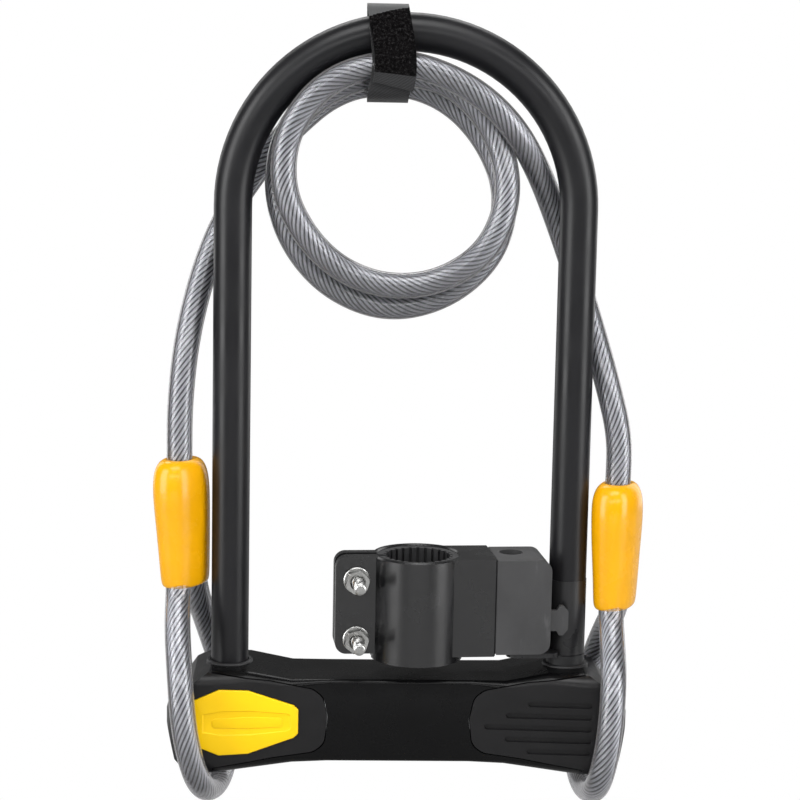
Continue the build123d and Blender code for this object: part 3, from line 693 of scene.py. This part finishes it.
# The strap's middle line as (depth, height, place across), in metres. It starts under the overlap on the
# front, goes down, under the coil, up the back, over the bar and down the front again.
strap_line = [
    (-0.0110, 0.0110, -0.0082), (-0.0124, 0.0040, -0.0072), (-0.0131, -0.0050, -0.0066),
    (-0.0133, -0.0120, -0.0074), (-0.0128, -0.0165, -0.0083), (-0.0090, -0.0186, -0.0084),
    (0.0000, -0.0190, -0.0082), (0.0100, -0.0186, -0.0080), (0.0150, -0.0160, -0.0080),
    (0.0164, -0.0100, -0.0078), (0.0160, -0.0010, -0.0078), (0.0140, 0.0070, -0.0080),
    (0.0112, 0.0125, -0.0084), (0.0060, 0.0162, -0.0086), (-0.0010, 0.0174, -0.0087),
    (-0.0080, 0.0168, -0.0087), (-0.0118, 0.0140, -0.0084), (-0.0135, 0.0090, -0.0076),
    (-0.0146, 0.0020, -0.0062), (-0.0150, -0.0050, -0.0056), (-0.0149, -0.0100, -0.0058),
    (-0.0145, -0.0135, -0.0066),
]
tape_from, tape_to = 0.45, 0.790      # shares of the strap's length where the lighter grey shows, up the back and over the top
pile_slant = 0.022                    # the lighter grey part's lower edge slants across the strap by this share
pile_fade = 0.03                      # the fuzz grows to its full height over this share
weave_from = 0.965                    # the flap's end is flattened
fuzz_height, fuzz_scale = 0.00028, 2600
fray_depth, fray_scale = 0.00012, 1500
strap_slots = {"weave": 0, "tape": 1, "pile": 2}


def strap_finish(share, across):
    """Which material of the strap shows, by the share of its length and the place across it."""
    if share >= tape_to - pile_slant * across:
        return "pile" if share < weave_from else "weave"
    return "tape" if share >= tape_from else "weave"


def tape_section(across_steps, thick_steps):
    """Points round the tape's section, as shares of its width and its thickness from the middle."""
    outside = [(k / across_steps - 0.5, 0.5) for k in range(across_steps + 1)]
    right = [(0.5, 0.5 - k / thick_steps) for k in range(1, thick_steps + 1)]
    inside = [(0.5 - k / across_steps, -0.5) for k in range(1, across_steps + 1)]
    left = [(-0.5, -0.5 + k / thick_steps) for k in range(1, thick_steps)]
    return outside + right + inside + left


def make_strap():
    """One tape that overlaps itself on the front; the overlapping end shows its loop pile."""
    line = line_points([(x, y, z) for y, z, x in strap_line])
    section = tape_section(22, 2)
    frames = []
    travelled = 0.0
    for k, point in enumerate(line):
        ahead = (line[min(k + 1, len(line) - 1)] - line[max(k - 1, 0)]).normalized()
        wide = Vector((1, 0, 0))
        wide = (wide - wide.dot(ahead) * ahead).normalized()
        if k:
            travelled += (point - line[k - 1]).length
        frames.append((point, wide, ahead.cross(wide), travelled))
    total = frames[-1][3]
    count = len(section)
    vertices, uvs = [], []
    for point, wide, outward, travelled in frames:
        share = travelled / total
        pile = smooth_step((share - tape_to) / pile_fade) * (share < weave_from)
        for u, v in section:
            place = point + u * strap_width * wide + v * strap_wall * outward
            fuzz = fuzz_height * pile * noise.noise(place * fuzz_scale) if v > 0 else 0.0
            fray = fray_depth * noise.noise(place * fray_scale) * (abs(u) > 0.49)
            vertices.append(place + fuzz * outward + fray * wide)
            uvs.append(((u + 0.5) * strap_width * 100, travelled * 100))
    faces = ring_faces(len(frames), count)
    piece = new_piece("strap_tape", vertices, faces, strap_weave)
    piece.data.materials.append(strap_tape)
    piece.data.materials.append(strap_pile)
    layer = piece.data.uv_layers.new(name="tape")
    for polygon in piece.data.polygons:
        corners = [piece.data.loops[i].vertex_index for i in polygon.loop_indices]
        share = min(frames[v // count][3] for v in corners) / total
        across = min(uvs[v][0] for v in corners) / (strap_width * 100) - 0.5
        polygon.material_index = strap_slots[strap_finish(share, across)]
        for i, v in zip(polygon.loop_indices, corners):
            layer.data[i].uv = uvs[v]
    smooth_by_angle(piece, 60)
    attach(piece, "shackle")
    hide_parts("strap")


make_strap()


# ---- badge on the left cap -----------------------------------------------------------------
flare_start_x = 0.028                 # where the crossbar's front begins to spread
shell_half_depth = 0.017              # from the crossbar's axis to its front there
face_tilt = radians(4.35)             # slope of the spreading front


def make_badge():
    """Faceted yellow plate: a long hexagon with a sunk lens-shaped field round one plain raised bar."""
    along = Vector((cos(face_tilt), sin(face_tilt), 0))
    outward = Vector((sin(face_tilt), -cos(face_tilt), 0))
    corner = Vector((-flare_start_x, -shell_half_depth, crossbar_z))
    # Outlines in millimetres: along the sloping front from its corner, and half the height there.
    outline = [(-11.4, 4.8), (-13.1, 6.5), (-31.0, 12.7), (-42.5, 13.2), (-52.2, 9.0)]
    field = [(-14.4, 2.6), (-15.6, 3.5), (-30.0, 4.9), (-41.0, 4.9), (-48.8, 3.6)]
    middle = Vector((-31.5, 0))

    def ring(half, inset, rise):
        """Points round a whole outline, drawn in towards the middle and raised off the front."""
        points = []
        for x, y in half + [(x, -y) for x, y in reversed(half)]:
            towards = middle - Vector((x, y))
            flat = Vector((x, y)) + inset * towards.normalized()
            points.append(corner + (flat.x * along + flat.y * Vector((0, 0, 1)) + rise * outward) / 1000)
        return points

    rings = [
        ring(outline, 0.0, -0.9), ring(outline, 0.0, 0.45), ring(outline, 0.45, 0.75),
        ring(field, 0.0, 1.25), ring(field, 0.35, 0.95),
    ]
    vertices = [point for points in rings for point in points]
    faces = ring_faces(len(rings), len(rings[0]))
    bar = [(-17.6, 1.2), (-18.6, 1.9), (-31.0, 2.5), (-44.0, 1.9), (-45.2, 1.2)]
    bar_rings = [ring(bar, 0.0, 0.90), ring(bar, 0.25, 1.20)]
    first = len(vertices)
    vertices += [point for points in bar_rings for point in points]
    faces += [tuple(first + i for i in face) for face in ring_faces(2, len(bar_rings[0]))]
    piece = new_piece("badge", vertices, faces, badge_yellow)
    face_outwards(piece)
    rounding = piece.modifiers.new("rounding", "BEVEL")
    rounding.width = 0.00018
    rounding.segments = 3
    rounding.limit_method = "ANGLE"
    rounding.angle_limit = radians(8)
    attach(piece, "crossbar")
    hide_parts("badge_plate")


make_badge()


# ---- fasteners of the clamp ----------------------------------------------------------------
ear_bolt_reach = -0.0849              # along the bracket from the leg's axis
ear_bolt_levels = (crossbar_z + 0.0320, crossbar_z + 0.0557)
bracket_along = Vector((cos(bracket_turn), sin(bracket_turn), 0))
bracket_back = Vector((-sin(bracket_turn), cos(bracket_turn), 0))
hexagon_apothem = 0.0050 * cos(pi / 6)
bolt_radius = 0.0025
thread_pitch, thread_depth = 0.0008, 0.00038
threaded_from, threaded_to = 0.0019, 0.0026      # the radii that carry the thread


def hexagon(angle, radius, _distance):
    """A round radius cut down to the flats of a nut."""
    off = (angle + pi / 6) % (pi / 3) - pi / 6
    return min(radius, hexagon_apothem / cos(off))


def thread(angle, radius, distance):
    """A round radius with a triangular screw thread on it."""
    if radius < threaded_from or radius > threaded_to:
        return radius
    phase = (distance / thread_pitch + angle / (2 * pi)) % 1.0
    return radius - thread_depth * abs(2 * phase - 1)


# Profiles as (distance back from the middle of the ears, radius).
head_profile = [
    (0.0095, 0.0), (0.0095, 0.0040), (0.0093, 0.0046), (0.0088, 0.0060), (0.0062, 0.0060),
    (0.0060, 0.0050), (0.0060, bolt_radius), (-0.0060, bolt_radius),
]
shank_steps, shank_reach = 84, -0.0218
shank_profile = [
    (0.0, 0.0), (0.0, 0.0024),
    *[(shank_reach * k / shank_steps, bolt_radius) for k in range(1, shank_steps + 1)],
    (-0.0221, 0.0022), (-0.0224, 0.0016), (-0.0225, 0.0009), (-0.0225, 0.0),
]
nut_profile = [
    (-0.0070, 0.0026), (-0.0070, 0.0048), (-0.0073, 0.0058), (-0.0106, 0.0058), (-0.0109, 0.0053),
    (-0.0112, 0.0046), (-0.0112, 0.0031), (-0.0108, 0.0026),
]
washer_profile = [
    (-0.0060, 0.0026), (-0.0060, 0.0050), (-0.0061, 0.0052), (-0.0068, 0.0052), (-0.0070, 0.0049),
    (-0.0070, 0.0026),
]
# Name, node it stands for, profile, points round it, how its radius is altered, closed ends or not.
fasteners = [
    ("clamp_bolt_head", "clamp_bolts", head_profile, 96, hexagon, True),
    ("clamp_bolt_end", "clamp_bolts", shank_profile, 40, thread, True),
    ("clamp_nut", "clamp_nuts", nut_profile, 96, hexagon, False),
    ("clamp_washer", "clamp_washers", washer_profile, 64, None, False),
]


def make_fasteners():
    """Two hexagon bolts from the back, each with a washer and a nut on the front of the ears."""
    for level, place in zip(("lower", "upper"), ear_bolt_levels):
        axis = Vector((leg_x, 0, place)) + ear_bolt_reach * bracket_along
        for name, node, profile, *form in fasteners:
            piece = lathe(f"{name}_{level}", profile, zinc_plate, axis, bracket_back, *form)
            smooth_by_angle(piece, 32)
            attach(piece, "bracket")
            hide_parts(node)


make_fasteners()


# ---- carried-over CAD pieces --------------------------------------------------------------
def paint(material, *names):
    for name in names:
        mesh = nodes[name].data
        if mesh.materials:
            for index in range(len(mesh.materials)):
                mesh.materials[index] = material
        else:
            mesh.materials.append(material)


paint(vinyl, "shackle_sleeve")
paint(steel, "shackle_bar", "crossbar_tube", "left_bolt", "right_bolt", "left_drive_pin", "right_drive_pin",
      "cam_disc", "case_pins", "catch_spring")
paint(gloss_black, "crossbar_cover", "keyway_cover")
paint(cap_black, "left_end_cap", "right_end_cap")
paint(rubber, "left_leg_seal", "right_leg_seal", "clamp_liner")
paint(ring_nylon, "clamp_ring")
paint(block_nylon, "receiver_block")
paint(collar_nylon, "collar")
paint(catch_nylon, "catch")
paint(zinc_plate, "block_screw", "cover_screw")
paint(cast_zinc, "lock_case", "left_bolt_guide", "right_bolt_guide", "left_end_plug", "right_end_plug")
paint(brass, "lock_plug")
paint(aluminium, "left_crimp", "right_crimp")


# ---- floor and lights ---------------------------------------------------------------------
floor_height = -0.40
light_reach = 1.35                    # from the middle of the lock to the soft boxes


def make_floor():
    """Pale floor below the hanging lock, clear of the crossbar when it is drawn off.

    It is lit to the same even white as the background where the camera sees it, as on a studio sweep.
    """
    size = 12.0
    square = ((-size, -size), (size, -size), (size, size), (-size, size))
    corners = [(x, y, floor_height) for x, y in square]
    material = new_material("pale floor", (0.42, 0.42, 0.42), 0.6)
    g = Graph(material)
    g.rough(g.spread(g.noise(g.place(), 30, detail=3), 0.3, 0.7, 0.55, 0.65))
    lit = g.add("Emission")
    lit.inputs["Color"].default_value = (1, 1, 1, 1)
    path = g.add("LightPath")
    mix = g.add("MixShader")
    g.link(path.outputs["Is Camera Ray"], mix.inputs["Fac"])
    g.link(g.shader.outputs["BSDF"], mix.inputs[1])
    g.link(lit.outputs["Emission"], mix.inputs[2])
    g.link(mix.outputs["Shader"], g.tree.nodes["Material Output"].inputs["Surface"])
    floor_piece = new_piece("floor", corners, [(0, 1, 2, 3)], material, smooth=False)


def make_light(name, place, target, size, power):
    """A white rectangle of light that faces its target; its size is (width, height)."""
    data = bpy.data.lights.new(name, "AREA")
    data.shape = "RECTANGLE"
    data.size, data.size_y = size
    data.energy = power
    light = bpy.data.objects.new(name, data)
    scene.collection.objects.link(light)
    light.location = place
    light.rotation_mode = "QUATERNION"
    light.rotation_quaternion = (Vector(target) - Vector(place)).to_track_quat("-Z", "Y")


def make_lights():
    """Tall soft boxes to either side, weaker ones behind, one above, a fill above and one below the camera.

    The world glows white where the camera sees it, and only weakly on the lock.
    """
    centre = Vector((0, 0, -0.14))
    boxes = [
        ("left box", -60, 22), ("right box", 60, 20),
        ("left rear box", -138, 5), ("right rear box", 138, 5),
    ]
    for name, turn, power in boxes:
        place = centre + light_reach * Vector((sin(radians(turn)), -cos(radians(turn)), 0.12))
        make_light(name, place, centre, (0.62, 1.7), power)
    make_light("top box", centre + Vector((0.0, -0.62, 1.15)), centre, (1.1, 0.6), 11)
    make_light("front fill", centre + Vector((0.0, -1.1, 0.45)), centre, (1.6, 0.2), 4.5)
    make_light("low fill", centre + Vector((0.0, -1.1, -0.24)), centre, (1.0, 0.25), 0.9)
    make_light("back box", centre + Vector((0.0, 1.1, 1.2)), centre, (1.4, 0.6), 9)
    world = bpy.data.worlds.new("studio")
    scene.world = world
    world.use_nodes = True
    tree = world.node_tree
    glow = tree.nodes["Background"]
    glow.inputs["Color"].default_value = (1, 1, 1, 1)
    glow.inputs["Strength"].default_value = 0.12
    seen = tree.nodes.new("ShaderNodeBackground")
    seen.inputs["Color"].default_value = (1, 1, 1, 1)
    seen.inputs["Strength"].default_value = 1.0
    path = tree.nodes.new("ShaderNodeLightPath")
    mix = tree.nodes.new("ShaderNodeMixShader")
    tree.links.new(path.outputs["Is Camera Ray"], mix.inputs["Fac"])
    tree.links.new(glow.outputs["Background"], mix.inputs[1])
    tree.links.new(seen.outputs["Background"], mix.inputs[2])
    tree.links.new(mix.outputs["Shader"], tree.nodes["World Output"].inputs["Surface"])


make_floor()
make_lights()
scene.view_settings.view_transform = "Standard"
